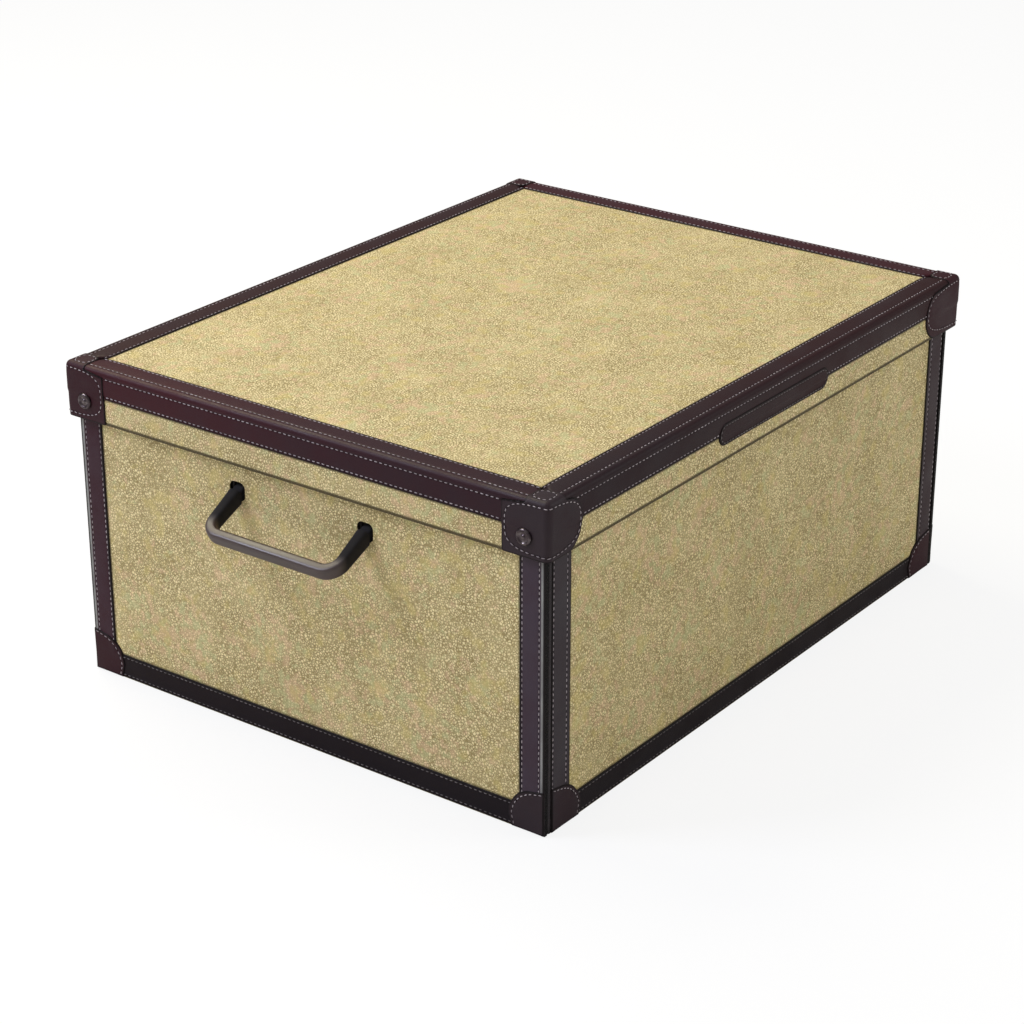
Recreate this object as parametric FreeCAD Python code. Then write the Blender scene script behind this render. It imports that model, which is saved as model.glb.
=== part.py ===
import FreeCAD, Part
import os
from math import cos, radians, tan

from FreeCAD import Vector

# A board storage box with a lift-off lid, a bail handle on each end and stitched edge trim.
# Sizes are in millimetres. X runs along the box, Y across it and Z up from the floor, with the
# origin at the centre of the base. Left and right are the ends, front and back the long sides.
# Every piece of a corner is made at the left front one and mirrored to the others.

# Body tray: one folded board blank
body_length = 488.0             # over the end walls
body_width = 378.0              # over the long walls
body_height = 222.0             # floor to rim
board = 2.5                     # thickness of the body's board
wall_fold_radius = 3.2          # outside of the fold where a long wall turns in behind the end wall
tab_length = 62.0               # glue tab of a long wall behind the end wall
tab_slant = 14.0                # how far the tab's free edge leans back towards the rim

# Trim of the body
strip = 0.7                     # thickness of the stitched edge strips
strip_width = 19.0
bottom_strip_height = 17.5
patch = 0.8                     # thickness of the corner patches, laid over the strips
foot_clearance = 0.5            # strips and patches stop this far above the floor
rim_clearance = 1.0             # and strips this far below the rim
strip_joint = 0.2               # where one strip butts against the next
foot_patch_end_width = 27.0     # bottom corner patch on an end wall
foot_patch_side_width = 31.0    # and on a long wall
foot_patch_height = 31.0        # at the slit
foot_patch_toe = 2.5            # cut back along the floor
foot_patch_hip = 9.5            # height of the widest place
foot_patch_shoulder = 12.0      # where the straight top edge ends, from the slit
foot_patch_slope = 2.2          # how far that edge falls on the way
foot_patch_bulge = 4.0          # rise of the round edge over its chord

# Lid tray: one folded board blank
lid_board = 2.5
lid_gap = 2.6                   # lid's inner face to the body's board
lid_rest = 0.3                  # rim to the underside of the lid's top
skirt_height = 37.0             # lid's top face to the skirt's lower edge
lid_corner_radius = 3.0         # upright corners, outside
lid_fold_radius = 3.0           # folds between the top and the skirts, outside

# Trim of the lid
lid_strip_top = 19.0            # how far a lid strip reaches in over the top
lid_strip_drop = 19.0           # and down the skirt
corner_tab_width = 35.0         # square tab of a corner piece on the end skirt
corner_lobe_short = 35.0        # rounded lobe of a corner piece on the long skirt, two corners
corner_lobe_long = 49.0         # the same at the other two corners
corner_lobe_toe = 13.0          # the lobe's round lower edge, back from its widest place
corner_lobe_head = 10.0         # and its round upper edge
corner_lobe_bulge = 3.6         # rise of each of them over its chord
corner_cap = 18.5               # the corner piece's part on the lid's top
corner_cap_round = 7.0
corner_foot = 0.6               # corner pieces stop this far above the skirt's lower edge
label_length = 134.0
label_height = 15.5
label_drop = 18.5               # lid's top face to the label's centre line

# Press rivets through the lid's corner pieces
rivet_inset = 18.0              # from the corner piece's outer corner, along the end
rivet_drop = 23.5               # below the lid's top face
rivet_radius = 5.5
rivet_height = 1.5
rivet_rim_slope = 1.1           # from the cap's edge in to its crest
rivet_dish_floor = 0.7          # where the dish meets the centre boss
rivet_boss_radius = 1.9         # foot of the boss
rivet_boss_top = 1.1            # and its flat top, as high as the crest
rivet_shank_radius = 1.9
rivet_clearance = 0.1           # shank in its hole
rivet_back_radius = 4.6
rivet_back = 0.9                # thickness of the closed back inside the skirt

# Handles: a moulded bail, whose legs end in round cross bars behind the end wall
handle_spacing = 104.5          # between the legs' centre lines
handle_height = 170.0           # pivot above the floor
handle_reach = 44.0             # pivot to the centre line of the grip
handle_droop = 27.0             # degrees below level, with the legs on the slots' lower edges
handle_rise = 2.0               # degrees above level, with them against the upper edges
leg_width = 9.0                 # legs just outside the wall, with bevelled edges
leg_thickness = 11.4
leg_bevel = 2.1
grip_width = 7.6                # grip and bends, from the wall side outwards
grip_thickness = 9.8
grip_bevel = 1.9
handle_bend = 10.5              # bend radius of the centre line
neck_width = 8.6                # the leg where it passes through the wall
neck_thickness = 7.0
neck_bevel = 1.5
neck_length = 10.8              # pivot to the start of the shoulder, on the centre line
shoulder_length = 1.0           # over which the neck grows to the leg's full section
shoulder_slant = 0.25           # how far the shoulder leans back towards its top, per mm of height
cross_bar_setback = 0.5         # cross bar to the anchor plate in front of it
cross_bar_clearance = 0.05      # radial, cross bar in ear
cross_bar_end_play = 0.2        # cross bar's ends, short of the ears' outer faces
slot_side_clearance = 2.0       # beside the neck in the wall's slot
window_side_clearance = 0.5     # beside the neck in the anchor plate
slot_swing_clearance = 0.4      # above and below the neck at the ends of its swing
slot_corner = 4.0

# Handle anchors: a moulded plate with ears, bonded behind the end wall
anchor_plate = 2.0
anchor_margin = 16.0            # plate beyond the legs' centre lines
anchor_height = 34.0
anchor_corner = 7.0
ear = 2.4                       # thickness of an ear
ear_gap = 0.4                   # between an ear and the leg's neck
ear_wall = 2.3                  # ear material round the cross bar
ear_bevel = 3.4                 # off the ear's two free corners
anchor_rib = 2.2               # thickness of the rib between the inner ears
anchor_rib_height = 3.2

# Places that follow from those sizes
end_face = body_length / 2
side_face = body_width / 2
sleeve_end = end_face - board
side_strip_start = -sleeve_end + wall_fold_radius
rim = body_height
lid_x = end_face + lid_gap + lid_board
lid_y = side_face + lid_gap + lid_board
lid_top = rim + lid_rest + lid_board
lid_bottom = lid_top - skirt_height
trim = strip + patch
pivot_depth = board + anchor_plate + cross_bar_setback + neck_thickness / 2
pivot_x = -end_face + pivot_depth
beyond = 5.0                    # how far a cutting block passes the face that it cuts
bow = 0.5 ** 0.5                # sine and cosine of an arc's middle, half way round a quarter

OUTWARD_END = Vector(-1, 0, 0)
OUTWARD_SIDE = Vector(0, -1, 0)
CORNERS = [(-1, -1), (-1, 1), (1, -1), (1, 1)]


def block(x, y, z):
    """A box between low and high limits, given as one pair for each axis."""
    return Part.makeBox(x[1] - x[0], y[1] - y[0], z[1] - z[0], Vector(x[0], y[0], z[0]))


def outline_face(runs):
    """A flat face inside a closed outline of straight runs (2 points) and arcs (3 points)."""
    edges = []
    for points in runs:
        if len(points) == 2:
            edges.append(Part.LineSegment(*points).toShape())
        else:
            edges.append(Part.Arc(*points).toShape())
    return Part.Face(Part.Wire(edges))


def closed_runs(points):
    """Straight runs from each point to the next and back to the first."""
    return [[points[i - 1], points[i]] for i in range(len(points))]


def bulged(start, end, rise):
    """An arc's three points in two coordinates, rising to the left of its chord."""
    run = (end[0] - start[0], end[1] - start[1])
    length = (run[0] ** 2 + run[1] ** 2) ** 0.5
    middle = (
        (start[0] + end[0]) / 2 - rise * run[1] / length,
        (start[1] + end[1]) / 2 + rise * run[0] / length,
    )
    return [start, middle, end]


def rounded_rectangle(half_a, half_b, radius, place):
    """A rounded rectangle's outline about the origin; place turns two coordinates into a point."""
    inner_a = half_a - radius
    inner_b = half_b - radius
    arcs = []
    for sa, sb in ((1, 1), (-1, 1), (-1, -1), (1, -1)):
        on_a = place(sa * half_a, sb * inner_b)
        on_b = place(sa * inner_a, sb * half_b)
        middle = place(sa * (inner_a + bow * radius), sb * (inner_b + bow * radius))
        arcs.append([on_a, middle, on_b] if sa * sb > 0 else [on_b, middle, on_a])
    runs = []
    for i in range(4):
        runs += [[arcs[i - 1][-1], arcs[i][0]], arcs[i]]
    return runs


def placed(shape, x_sign, y_sign):
    """A piece made at the left front, mirrored to the place that the two signs give."""
    if x_sign > 0:
        shape = shape.mirror(Vector(), Vector(1, 0, 0))
    if y_sign > 0:
        shape = shape.mirror(Vector(), Vector(0, 1, 0))
    return shape


# Body tray
def swing_limits(depth):
    """Lowest and highest place that a neck needs at a distance from its pivot, over its swing."""
    droop = radians(handle_droop)
    rise = radians(handle_rise)
    below = depth * tan(droop) + neck_thickness / 2 / cos(droop) + slot_swing_clearance
    above = depth * tan(rise) + neck_thickness / 2 / cos(rise) + slot_swing_clearance
    return handle_height - below, handle_height + above


def leg_slot():
    """The upright slot for the front leg, through the left end wall."""
    start = -end_face - beyond
    low, high = swing_limits(pivot_depth)
    outline = rounded_rectangle(
        neck_width / 2 + slot_side_clearance,
        (high - low) / 2,
        slot_corner,
        lambda a, b: Vector(start, -handle_spacing / 2 + a, (low + high) / 2 + b),
    )
    return outline_face(outline).extrude(Vector(board + 2 * beyond, 0, 0))


def both_legs(shape):
    """A piece at the front leg and its mirror image at the back leg."""
    return [shape, placed(shape, -1, 1)]


def body_tray():
    """Base, long walls and their tabs as one sleeve, with the end walls standing against it."""
    plan = rounded_rectangle(
        sleeve_end, side_face, wall_fold_radius, lambda a, b: Vector(a, b, 0)
    )
    sleeve = outline_face(plan).extrude(Vector(0, 0, rim))
    inner_end = sleeve_end - board
    inner_side = side_face - board
    hollow = block((-inner_end, inner_end), (-inner_side, inner_side), (board, rim + beyond))
    low = side_face - tab_length
    high = low + tab_slant * (rim + beyond - board) / (rim - board)
    window = outline_face(closed_runs([
        Vector(-sleeve_end - beyond, -low, board),
        Vector(-sleeve_end - beyond, low, board),
        Vector(-sleeve_end - beyond, high, rim + beyond),
        Vector(-sleeve_end - beyond, -high, rim + beyond),
    ])).extrude(Vector(beyond + board, 0, 0))
    sleeve = sleeve.cut([hollow, window, placed(window, 1, -1)])
    end_wall = block((-end_face, -sleeve_end), (-side_face, side_face), (0, rim))
    end_wall = end_wall.cut(both_legs(leg_slot()))
    return sleeve.fuse([end_wall, placed(end_wall, 1, -1)]).removeSplitter()


# Stitched strips of the body
def upright_strip_on_end():
    """Beside the slit, on the end wall."""
    return block(
        (-end_face - strip, -end_face),
        (-side_face, -side_face + strip_width),
        (foot_clearance, rim - rim_clearance),
    )


def upright_strip_on_side():
    """Beside the slit, on the long wall, from where its fold ends."""
    return block(
        (side_strip_start, side_strip_start + strip_width),
        (-side_face - strip, -side_face),
        (foot_clearance, rim - rim_clearance),
    )


def bottom_strip_on_end():
    """Along the foot of the left end wall, between its upright strips."""
    half = side_face - strip_width - strip_joint
    return block(
        (-end_face - strip, -end_face), (-half, half), (foot_clearance, bottom_strip_height)
    )


def bottom_strip_on_side():
    """Along the foot of the front wall, between its upright strips."""
    half = -side_strip_start - strip_width - strip_joint
    return block(
        (-half, half), (-side_face - strip, -side_face), (foot_clearance, bottom_strip_height)
    )


# Bottom corner patches
def foot_patch(width, outward, place):
    """A trunk corner: straight along the slit and the floor, with one round edge between them."""
    shoulder = (foot_patch_shoulder, foot_patch_height - foot_patch_slope)
    hip = (width, foot_patch_hip)
    outline = [
        [(0, foot_clearance), (width - foot_patch_toe, foot_clearance)],
        [(width - foot_patch_toe, foot_clearance), hip],
        bulged(shoulder, hip, foot_patch_bulge)[::-1],
        [shoulder, (0, foot_patch_height)],
        [(0, foot_patch_height), (0, foot_clearance)],
    ]
    face = outline_face([[place(a, z) for a, z in run] for run in outline])
    return face.extrude(outward * trim)


def foot_patch_on_end():
    """Over the strips on the end wall, down to the board beside them."""
    plate = foot_patch(
        foot_patch_end_width, OUTWARD_END, lambda a, z: Vector(-end_face, -side_face + a, z)
    )
    return plate.cut([upright_strip_on_end(), bottom_strip_on_end()])


def foot_patch_on_side():
    """Over the strips on the long wall, down to the board beside them."""
    plate = foot_patch(
        foot_patch_side_width,
        OUTWARD_SIDE,
        lambda a, z: Vector(side_strip_start + a, -side_face, z),
    )
    return plate.cut([upright_strip_on_side(), bottom_strip_on_side()])


# Lid
def crowned_profile(half, grow, place):
    """The lid seen along a skirt: upright sides, and top corners rounded by the fold."""
    side = half + grow
    top = lid_top + grow
    radius = lid_fold_radius + grow
    flat = side - radius
    crown = top - radius
    outline = [
        [(-side, lid_bottom), (side, lid_bottom)],
        [(side, lid_bottom), (side, crown)],
        [(side, crown), (flat + bow * radius, crown + bow * radius), (flat, top)],
        [(flat, top), (-flat, top)],
        [(-flat, top), (-flat - bow * radius, crown + bow * radius), (-side, crown)],
        [(-side, crown), (-side, lid_bottom)],
    ]
    return outline_face([[place(a, z) for a, z in run] for run in outline])


def lid_envelope(grow):
    """What the lid's plan, front and end profiles share, grown all round by a trim's thickness."""
    reach_x = lid_x + grow + beyond
    reach_y = lid_y + grow + beyond
    plan = outline_face(rounded_rectangle(
        lid_x + grow,
        lid_y + grow,
        lid_corner_radius + grow,
        lambda a, b: Vector(a, b, lid_bottom),
    )).extrude(Vector(0, 0, skirt_height + grow + beyond))
    front = crowned_profile(lid_x, grow, lambda a, z: Vector(a, -reach_y, z))
    end = crowned_profile(lid_y, grow, lambda a, z: Vector(-reach_x, a, z))
    plan = plan.common(front.extrude(Vector(0, 2 * reach_y, 0)))
    return plan.common(end.extrude(Vector(2 * reach_x, 0, 0)))


def rivet_seat():
    """Where the left front rivet's axis meets the outside of its corner piece."""
    return Vector(-lid_x - trim, -lid_y - trim + rivet_inset, lid_top - rivet_drop)


def rivet_hole():
    """A bore for the left front rivet through the skirt and the corner piece."""
    radius = rivet_shank_radius + rivet_clearance
    start = rivet_seat() - Vector(beyond, 0, 0)
    return Part.makeCylinder(radius, 2 * beyond + trim + lid_board, start, Vector(1, 0, 0))


def lid_tray():
    """Top panel and skirts, bored for the four rivets."""
    inner_end = lid_x - lid_board
    inner_side = lid_y - lid_board
    hollow = block(
        (-inner_end, inner_end),
        (-inner_side, inner_side),
        (lid_bottom - beyond, lid_top - lid_board),
    )
    holes = [placed(rivet_hole(), *corner) for corner in CORNERS]
    return lid_envelope(0).cut([hollow] + holes)


# Stitched strips of the lid
def folded_strip(across, along, place):
    """A strip folded over one top edge, ending at the lid's upright corners, mitred on the top.

    Across is from the middle of the lid to the skirt's outer face, along from the middle to the
    faces at the strip's ends. The place turns a coordinate along, one across and a height into a
    point.
    """
    start = along - lid_corner_radius
    inner = across - lid_strip_top
    low = lid_top - lid_strip_drop
    fold = across - lid_fold_radius
    crown = lid_top - lid_fold_radius
    radius = lid_fold_radius + strip
    profile = [
        [(across, low), (across, crown)],
        [
            (across, crown),
            (fold + bow * lid_fold_radius, crown + bow * lid_fold_radius),
            (fold, lid_top),
        ],
        [(fold, lid_top), (inner, lid_top)],
        [(inner, lid_top), (inner, lid_top + strip)],
        [(inner, lid_top + strip), (fold, lid_top + strip)],
        [
            (fold, lid_top + strip),
            (fold + bow * radius, crown + bow * radius),
            (across + strip, crown),
        ],
        [(across + strip, crown), (across + strip, low)],
        [(across + strip, low), (across, low)],
    ]
    face = outline_face([[place(-start, c, z) for c, z in run] for run in profile])
    folded = face.extrude(place(start, 0, 0) - place(-start, 0, 0))
    reach = lid_strip_top + beyond
    mitres = []
    for end in (-1, 1):
        wedge = outline_face(closed_runs([
            place(end * along, across, crown),
            place(end * (along - reach), across - reach, crown),
            place(end * along, across - reach, crown),
        ]))
        mitres.append(wedge.extrude(Vector(0, 0, lid_fold_radius + beyond)))
    return folded.cut(mitres)


def lid_strip_on_end():
    """Over the left top edge."""
    return folded_strip(lid_x, lid_y, lambda a, c, z: Vector(-c, a, z))


def lid_strip_on_side():
    """Over the front top edge."""
    return folded_strip(lid_y, lid_x, lambda a, c, z: Vector(a, -c, z))


# Lid corner pieces
def corner_region(lobe):
    """What a corner piece covers: lobe on the long skirt, square tab on the end, cap on the top."""
    left = -lid_x - trim
    front = -lid_y - trim
    foot = lid_bottom + corner_foot
    shoulder = lid_top - lid_fold_radius
    middle = (foot + shoulder) / 2
    toe = (left + lobe - corner_lobe_toe, foot)
    tip = (left + lobe, middle)
    head = (left + lobe - corner_lobe_head, shoulder)
    outline = [
        [(left - beyond, foot), toe],
        bulged(tip, toe, corner_lobe_bulge)[::-1],
        bulged(head, tip, corner_lobe_bulge)[::-1],
        [head, (left - beyond, shoulder)],
        [(left - beyond, shoulder), (left - beyond, foot)],
    ]
    corner = trim + lid_corner_radius
    face = outline_face([[Vector(a, front - beyond, z) for a, z in run] for run in outline])
    tab = block(
        (left - beyond, left + corner), (front - beyond, front + corner_tab_width), (foot, shoulder)
    )
    cap = block(
        (left - beyond, left + corner_cap),
        (front - beyond, front + corner_cap),
        (shoulder - corner, lid_top + beyond),
    )
    upright = [e for e in cap.Edges if e.tangentAt(e.FirstParameter).cross(Vector(0, 0, 1)).Length < 0.5]
    inner = max(upright, key=lambda e: e.CenterOfMass.x + e.CenterOfMass.y)
    cap = cap.makeFillet(corner_cap_round, [inner])
    return face.extrude(Vector(0, beyond + corner, 0)).fuse([tab, cap])


def lid_corner_piece(lobe):
    """A patch wrapped round a corner of the lid, over the strips and down to the board."""
    skin = lid_envelope(trim).cut(lid_envelope(0))
    piece = skin.common(corner_region(lobe))
    return piece.cut([lid_strip_on_end(), lid_strip_on_side(), rivet_hole()])


# Label patch
def label_patch():
    """A pill-shaped plate on the front skirt, over the strip and down onto the bare board."""
    middle = lid_top - label_drop
    round_end = 0.98 * label_height / 2
    outline = rounded_rectangle(
        label_length / 2, label_height / 2, round_end, lambda a, b: Vector(a, -lid_y, middle + b)
    )
    return outline_face(outline).extrude(OUTWARD_SIDE * trim).cut(lid_strip_on_side())


# Rivets
def turned_piece(profile, seat):
    """Turns a closed profile of (height, radius) points about an axis that points out to the left."""
    points = [Vector(-height, radius, 0) for height, radius in profile]
    piece = outline_face(closed_runs(points)).revolve(Vector(), Vector(1, 0, 0), 360)
    piece.translate(seat)
    return piece


def rivet():
    """Cap with a sloping rim, a dish and a centre boss, in one with its shank."""
    return turned_piece([
        (-trim - lid_board, 0),
        (-trim - lid_board, rivet_shank_radius),
        (0, rivet_shank_radius),
        (0, rivet_radius),
        (rivet_height, rivet_radius - rivet_rim_slope),
        (rivet_dish_floor, rivet_boss_radius),
        (rivet_height, rivet_boss_top),
        (rivet_height, 0),
    ], rivet_seat())


def rivet_back_disc():
    """Closed back, pressed on the shank's end against the inside of the skirt."""
    seat = rivet_seat() + Vector(trim + lid_board, 0, 0)
    return Part.makeCylinder(rivet_back_radius, rivet_back, seat, Vector(1, 0, 0))


# Handle anchors
def anchor_ear(y):
    """A bevelled ear on the plate, bored for the cross bar, from y to y plus its thickness."""
    back = -sleeve_end + anchor_plate
    bore = neck_thickness / 2 + cross_bar_clearance
    half = bore + ear_wall
    low, high = handle_height - half, handle_height + half
    free = pivot_x + half
    outline = outline_face(closed_runs([
        Vector(back, y, low),
        Vector(free - ear_bevel, y, low),
        Vector(free, y, low + ear_bevel),
        Vector(free, y, high - ear_bevel),
        Vector(free - ear_bevel, y, high),
        Vector(back, y, high),
    ]))
    hole = Part.makeCylinder(bore, ear, Vector(pivot_x, y, handle_height), Vector(0, 1, 0))
    return outline.extrude(Vector(0, ear, 0)).cut(hole)


def handle_anchor():
    """Plate with a window and a pair of ears for each leg, and a rib between the inner ears."""
    back = -sleeve_end + anchor_plate
    outline = rounded_rectangle(
        handle_spacing / 2 + anchor_margin,
        anchor_height / 2,
        anchor_corner,
        lambda a, b: Vector(-sleeve_end, a, handle_height + b),
    )
    plate = outline_face(outline).extrude(Vector(anchor_plate, 0, 0))
    half_window = neck_width / 2 + window_side_clearance
    window = block(
        (-sleeve_end - beyond, back + beyond),
        (-handle_spacing / 2 - half_window, -handle_spacing / 2 + half_window),
        swing_limits(pivot_depth - board),
    )
    plate = plate.cut(both_legs(window))
    clear = neck_width / 2 + ear_gap
    inner_ear = -handle_spacing / 2 + clear
    rib_end = -inner_ear - ear
    rib = block(
        (back, back + anchor_rib_height),
        (-rib_end, rib_end),
        (handle_height - anchor_rib / 2, handle_height + anchor_rib / 2),
    )
    pieces = both_legs(anchor_ear(inner_ear))
    pieces += both_legs(anchor_ear(-handle_spacing / 2 - clear - ear))
    return plate.fuse(pieces + [rib]).removeSplitter()


# Handles
def bevelled_section(width, thickness, bevel, place):
    """A rectangle's outline with bevelled corners; place turns two coordinates into a point."""
    corners = []
    for sa, sb in ((1, 1), (-1, 1), (-1, -1), (1, -1)):
        pair = [
            (sa * width / 2, sb * (thickness / 2 - bevel)),
            (sa * (width / 2 - bevel), sb * thickness / 2),
        ]
        corners += pair if sa * sb > 0 else pair[::-1]
    points = [place(a, b) for a, b in corners]
    return Part.Wire([Part.LineSegment(*run).toShape() for run in closed_runs(points)])


def grip_section(place):
    """The outline that the grip and both bends share."""
    return bevelled_section(grip_width, grip_thickness, grip_bevel, place)


def across_leg(reach, slant=0.0):
    """Places across the front leg at a distance from the pivot, leaning back by the slant."""
    return lambda a, b: Vector(-reach + slant * b, -handle_spacing / 2 + a, b)


def handle_leg():
    """The front leg, thinning from its shoulder to the bend, its neck, and the round cross bar."""
    y = -handle_spacing / 2
    full_at = neck_length + shoulder_length
    neck = (neck_width, neck_thickness, neck_bevel)
    neck_start = bevelled_section(*neck, across_leg(0))
    neck_end = bevelled_section(*neck, across_leg(neck_length, shoulder_slant))
    leg_start = bevelled_section(
        leg_width, leg_thickness, leg_bevel, across_leg(full_at, shoulder_slant)
    )
    leg_end = grip_section(across_leg(handle_reach - handle_bend))
    half_bar = neck_width / 2 + ear_gap + ear - cross_bar_end_play
    cross_bar = Part.makeCylinder(
        neck_thickness / 2, 2 * half_bar, Vector(0, y - half_bar, 0), Vector(0, 1, 0)
    )
    shoulder = Part.makeLoft([neck_end, leg_start], True, True)
    straight = Part.makeLoft([leg_start, leg_end], True, True)
    return Part.makeLoft([neck_start, neck_end], True, True).fuse([shoulder, straight, cross_bar])


def handle_corner():
    """The front bend: the grip's section turned a quarter round, from the leg to the grip."""
    bend_at = handle_reach - handle_bend
    centre = Vector(-bend_at, -handle_spacing / 2 + handle_bend, 0)
    leg_end = Part.Face(grip_section(across_leg(bend_at)))
    return leg_end.revolve(centre, Vector(0, 0, -1), 90)


def handle():
    """Bail: grip and legs in one bent bar between two necks, hung at its droop."""
    half_grip = handle_spacing / 2 - handle_bend
    grip_end = grip_section(lambda a, b: Vector(-handle_reach + a, -half_grip, b))
    grip = Part.Face(grip_end).extrude(Vector(0, 2 * half_grip, 0))
    bail = grip.fuse(both_legs(handle_leg()) + both_legs(handle_corner())).removeSplitter()
    bail.rotate(Vector(), Vector(0, 1, 0), -handle_droop)
    bail.translate(Vector(pivot_x, 0, handle_height))
    return bail


# All the pieces, each under its own name
def all_pieces():
    """The name and the shape of every piece."""
    ends = {"left": -1, "right": 1}
    sides = {"front": -1, "back": 1}
    pieces = {"body_tray": body_tray(), "lid_tray": lid_tray(), "label_patch": label_patch()}
    for end, x in ends.items():
        pieces["bottom_strip_" + end] = placed(bottom_strip_on_end(), x, -1)
        pieces["lid_strip_" + end] = placed(lid_strip_on_end(), x, -1)
        pieces["handle_anchor_" + end] = placed(handle_anchor(), x, -1)
        pieces["handle_" + end] = placed(handle(), x, -1)
    for side, y in sides.items():
        pieces["bottom_strip_" + side] = placed(bottom_strip_on_side(), -1, y)
        pieces["lid_strip_" + side] = placed(lid_strip_on_side(), -1, y)
    for end, x in ends.items():
        for side, y in sides.items():
            corner = end + "_" + side
            lobe = corner_lobe_short if x == y else corner_lobe_long
            pieces["end_strip_" + corner] = placed(upright_strip_on_end(), x, y)
            pieces["side_strip_" + corner] = placed(upright_strip_on_side(), x, y)
            pieces["end_patch_" + corner] = placed(foot_patch_on_end(), x, y)
            pieces["side_patch_" + corner] = placed(foot_patch_on_side(), x, y)
            pieces["lid_corner_" + corner] = placed(lid_corner_piece(lobe), x, y)
    pieces["lid_rivets"] = Part.makeCompound([placed(rivet(), *c) for c in CORNERS])
    pieces["rivet_backs"] = Part.makeCompound([placed(rivet_back_disc(), *c) for c in CORNERS])
    return pieces


os.makedirs("parts", exist_ok=True)
for name, shape in all_pieces().items():
    faults = "" if shape.isValid() else ", not valid"
    print("%s: solids %d%s" % (name, len(shape.Solids), faults))
    shape.exportStep("parts/%s.step" % name)
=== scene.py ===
from math import cos, pi, radians, sin

import bmesh
import bpy
import numpy as np
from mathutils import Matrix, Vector


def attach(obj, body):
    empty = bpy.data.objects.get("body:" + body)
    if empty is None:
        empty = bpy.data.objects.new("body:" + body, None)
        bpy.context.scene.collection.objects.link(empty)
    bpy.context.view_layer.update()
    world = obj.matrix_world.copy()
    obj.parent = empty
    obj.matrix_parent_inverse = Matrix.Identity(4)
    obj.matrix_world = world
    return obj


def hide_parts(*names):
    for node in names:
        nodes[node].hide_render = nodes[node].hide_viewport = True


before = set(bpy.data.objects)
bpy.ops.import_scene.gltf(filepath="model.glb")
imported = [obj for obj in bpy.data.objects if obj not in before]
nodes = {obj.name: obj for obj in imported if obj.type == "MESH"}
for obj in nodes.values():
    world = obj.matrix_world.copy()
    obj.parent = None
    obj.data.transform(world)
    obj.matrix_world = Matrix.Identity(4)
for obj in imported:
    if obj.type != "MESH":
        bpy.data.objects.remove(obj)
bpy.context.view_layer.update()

# The body: one folded blank of 2.5 mm grey board, covered outside with pebbled gold-beige paper
# that is turned in over the rim, and lined with plain cream paper. At each corner the board's cut
# edge and the fold beside it are painted near black, a painted shade for the shadow in the slit.
MM = 0.001
end_face, side_face, rim, board = 244.0, 189.0, 222.0, 2.5
strip_width, side_start, bottom_top = 19.0, -238.3, 17.5
# Where each corner's slit starts, and where its painted shade turns from dark grey to near black.
slit_x, slit_y, slit_grey_x = 238.25, 185.9, (239.6, 240.8)
slot_across, slot_high, slot_skin = (45.5, 59.0), (161.0, 174.6), 0.04
turned_in, slack, no_limit, sole = 16.0, 0.05, 999, 0.4
grain_scale = 545
cover_pale, cover_deep = (0.87, 0.735, 0.405), (0.31, 0.236, 0.096)
olive, pink, ochre = (0.50, 0.51, 0.25), (0.69, 0.45, 0.28), (0.60, 0.48, 0.16)
lining_cream = (0.66, 0.58, 0.44)
# Painted shade colours: near black in the slits and slots, dark grey at a slit's side, brown beside
# the trim.
recess_shade_black, slit_grey, trim_shade_brown = (0.005, 0.003, 0.003), (0.045, 0.038, 0.040), (0.085, 0.066, 0.030)


class Wire:
    """One output of a shader node. A sum written with wires adds its Math nodes, and node() adds
    any other kind of node to the same material."""

    def __init__(self, socket):
        self.socket = socket

    def node(self, kind, settings, sockets, output=0):
        """A node of the kind, its settings made first and its sockets, by name or number, filled
        after them."""
        made = self.socket.id_data.nodes.new("ShaderNode" + kind)
        for name, value in settings.items():
            setattr(made, name, value)
        for name, value in sockets.items():
            if isinstance(value, Wire):
                made.id_data.links.new(value.socket, made.inputs[name])
            elif isinstance(value, tuple) and len(made.inputs[name].default_value) == 4:
                made.inputs[name].default_value = (*value, 1)
            else:
                made.inputs[name].default_value = value
        return Wire(made.outputs[output])

    def math(self, operation, *others):
        return self.node("Math", {"operation": operation}, dict(enumerate((self, *others))))

    def __add__(self, other):
        return self.math("ADD", other)

    def __mul__(self, other):
        return self.math("MULTIPLY", other)

    def __sub__(self, other):
        return self.math("SUBTRACT", other)

    def __rsub__(self, other):
        return self.node("Math", {"operation": "SUBTRACT"}, {0: other, 1: self})

    def __gt__(self, other):
        return self.math("GREATER_THAN", other)

    def __lt__(self, other):
        return self.math("LESS_THAN", other)

    __radd__ = __add__
    __rmul__ = __mul__

    def step(self, low, high, start=0.0, end=1.0):
        """Goes smoothly from start to end while this wire goes from low to high."""
        levels = {0: self, 1: low, 2: high, 3: start, 4: end}
        return self.node("MapRange", {"interpolation_type": "SMOOTHSTEP"}, levels)

    def mix(self, below, above):
        """The colour below where this wire is 0 and the colour above where it is 1."""
        return self.node("Mix", {"data_type": "RGBA"}, {0: self, 6: below, 7: above}, 2)

    def parts(self):
        """The three coordinates of this wire's vector."""
        return [self.node("SeparateXYZ", {}, {0: self}, i) for i in range(3)]

    def shifted(self, amount, by):
        """This wire's vector, moved by a noise's colour as far as the amount."""
        centred = self.node("VectorMath", {"operation": "SUBTRACT"}, {0: by, 1: (0.5, 0.5, 0.5)})
        moved = self.node("VectorMath", {"operation": "SCALE"}, {0: centred, "Scale": amount})
        return self.node("VectorMath", {"operation": "ADD"}, {0: self, 1: moved})

    def between(self, low, high):
        """1 where this wire is between two measures in millimetres, and 0 elsewhere."""
        return (self > low * MM) * (self < high * MM)

    def noise(self, scale, detail=2.0, output=0):
        return self.node("TexNoise", {}, {"Vector": self, "Scale": scale, "Detail": detail}, output)

    def cells(self, scale, feature="DISTANCE_TO_EDGE", output=0):
        sockets = {"Vector": self, "Scale": scale}
        return self.node("TexVoronoi", {"feature": feature}, sockets, output)


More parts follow.
